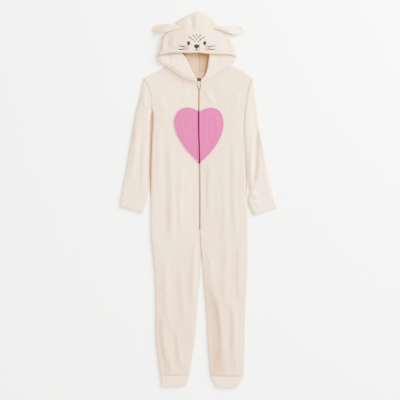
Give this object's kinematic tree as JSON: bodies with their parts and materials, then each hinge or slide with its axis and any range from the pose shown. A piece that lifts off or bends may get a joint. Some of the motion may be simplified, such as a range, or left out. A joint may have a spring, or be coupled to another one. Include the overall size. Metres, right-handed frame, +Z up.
{
  "type": "hooded onesie pajama",
  "caption": "Hooded fleece onesie with a front zip, padded ears on the hood, a heart applique on the chest and gathered ankle cuffs, laid flat.",
  "frame": {"origin": "centre of the bounding box at its bottom, on the surface the garment lies on", "axes": "+X across the garment to the viewer's right, +Y from the ankles to the hood, +Z up out of the front"},
  "size_m": [0.606, 1.448, 0.0326],
  "materials": {
    "fleece": "cream brushed fleece",
    "heart": "pink brushed fleece",
    "zip": "beige woven tape and nylon coil",
    "metal": "pale satin metal",
    "label": "dark woven label"
  },
  "bodies": {
    "garment": {"back_left": "fleece", "front_left": "fleece", "sleeve_left": "fleece", "cuff_left": "fleece", "hood_left": "fleece", "ear_left": "fleece", "heart_left": "heart", "zip_left": "zip", "back_right": "fleece", "front_right": "fleece", "sleeve_right": "fleece", "cuff_right": "fleece", "hood_right": "fleece", "ear_right": "fleece", "heart_right": "heart", "zip_right": "zip", "zip_slider": "metal", "neck_label": "label"},
    "pull_tab": {"zip_pull": "metal"}
  },
  "joints": [
    {"name": "pull_tab_hinge", "type": "hinge", "parent": "garment", "child": "pull_tab", "pos_m": [0, 0.4472, 0.0102], "axis": [-1, 0, 0], "range_deg": [0, 150]}
  ]
}
